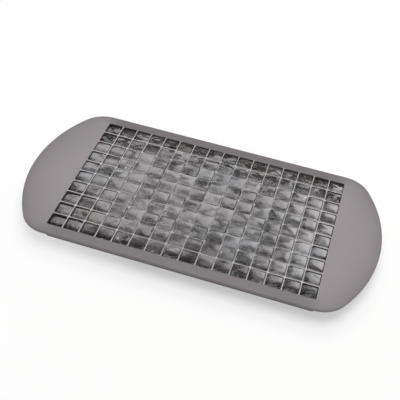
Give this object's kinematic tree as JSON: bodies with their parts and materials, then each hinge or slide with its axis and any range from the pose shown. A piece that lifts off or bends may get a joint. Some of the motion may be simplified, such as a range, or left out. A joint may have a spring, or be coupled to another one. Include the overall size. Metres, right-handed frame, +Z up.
{
  "type": "silicone ice cube tray",
  "caption": "Flat flexible silicone tray with a D-shaped handle at each end and a grid of small square cells, each holding an ice cube.",
  "frame": {"origin": "middle of the underside, on the surface that the tray stands on", "axes": "+X along the tray towards the right handle, +Y across it to the back, +Z up"},
  "size_m": [0.236, 0.122, 0.0124],
  "materials": {
    "silicone": "matt moulded silicone, warm dark grey",
    "ice": "clear wet ice"
  },
  "bodies": {
    "tray": {"cell_floor": "silicone", "front_wall": "silicone", "back_wall": "silicone", "left_wall": "silicone", "right_wall": "silicone", "cross_walls": "silicone", "lengthwise_walls": "silicone", "front_rim": "silicone", "back_rim": "silicone", "left_rim": "silicone", "right_rim": "silicone"},
    "left_handle": {"left_handle": "silicone"},
    "right_handle": {"right_handle": "silicone"},
    "ice_column_01": {"ice_column_01": "ice"},
    "ice_column_02": {"ice_column_02": "ice"},
    "ice_column_03": {"ice_column_03": "ice"},
    "ice_column_04": {"ice_column_04": "ice"},
    "ice_column_05": {"ice_column_05": "ice"},
    "ice_column_06": {"ice_column_06": "ice"},
    "ice_column_07": {"ice_column_07": "ice"},
    "ice_column_08": {"ice_column_08": "ice"},
    "ice_column_09": {"ice_column_09": "ice"},
    "ice_column_10": {"ice_column_10": "ice"},
    "ice_column_11": {"ice_column_11": "ice"},
    "ice_column_12": {"ice_column_12": "ice"},
    "ice_column_13": {"ice_column_13": "ice"},
    "ice_column_14": {"ice_column_14": "ice"},
    "ice_column_15": {"ice_column_15": "ice"},
    "ice_column_16": {"ice_column_16": "ice"}
  },
  "joints": [
    {"name": "left_handle_bend", "type": "hinge", "parent": "tray", "child": "left_handle", "pos_m": [-0.0892, 0, 0.0105], "axis": [0, 1, 0], "range_deg": [-18, 60], "stiffness_Nm_per_rad": 0.03},
    {"name": "right_handle_bend", "type": "hinge", "parent": "tray", "child": "right_handle", "pos_m": [0.0892, 0, 0.0105], "axis": [0, -1, 0], "range_deg": [-18, 60], "stiffness_Nm_per_rad": 0.03},
    {"name": "ice_lift_01", "type": "slide", "parent": "tray", "child": "ice_column_01", "axis": [0, 0, 1], "range_m": [0, 0.02]},
    {"name": "ice_lift_02", "type": "slide", "parent": "tray", "child": "ice_column_02", "axis": [0, 0, 1], "range_m": [0, 0.02]},
    {"name": "ice_lift_03", "type": "slide", "parent": "tray", "child": "ice_column_03", "axis": [0, 0, 1], "range_m": [0, 0.02]},
    {"name": "ice_lift_04", "type": "slide", "parent": "tray", "child": "ice_column_04", "axis": [0, 0, 1], "range_m": [0, 0.02]},
    {"name": "ice_lift_05", "type": "slide", "parent": "tray", "child": "ice_column_05", "axis": [0, 0, 1], "range_m": [0, 0.02]},
    {"name": "ice_lift_06", "type": "slide", "parent": "tray", "child": "ice_column_06", "axis": [0, 0, 1], "range_m": [0, 0.02]},
    {"name": "ice_lift_07", "type": "slide", "parent": "tray", "child": "ice_column_07", "axis": [0, 0, 1], "range_m": [0, 0.02]},
    {"name": "ice_lift_08", "type": "slide", "parent": "tray", "child": "ice_column_08", "axis": [0, 0, 1], "range_m": [0, 0.02]},
    {"name": "ice_lift_09", "type": "slide", "parent": "tray", "child": "ice_column_09", "axis": [0, 0, 1], "range_m": [0, 0.02]},
    {"name": "ice_lift_10", "type": "slide", "parent": "tray", "child": "ice_column_10", "axis": [0, 0, 1], "range_m": [0, 0.02]},
    {"name": "ice_lift_11", "type": "slide", "parent": "tray", "child": "ice_column_11", "axis": [0, 0, 1], "range_m": [0, 0.02]},
    {"name": "ice_lift_12", "type": "slide", "parent": "tray", "child": "ice_column_12", "axis": [0, 0, 1], "range_m": [0, 0.02]},
    {"name": "ice_lift_13", "type": "slide", "parent": "tray", "child": "ice_column_13", "axis": [0, 0, 1], "range_m": [0, 0.02]},
    {"name": "ice_lift_14", "type": "slide", "parent": "tray", "child": "ice_column_14", "axis": [0, 0, 1], "range_m": [0, 0.02]},
    {"name": "ice_lift_15", "type": "slide", "parent": "tray", "child": "ice_column_15", "axis": [0, 0, 1], "range_m": [0, 0.02]},
    {"name": "ice_lift_16", "type": "slide", "parent": "tray", "child": "ice_column_16", "axis": [0, 0, 1], "range_m": [0, 0.02]}
  ]
}
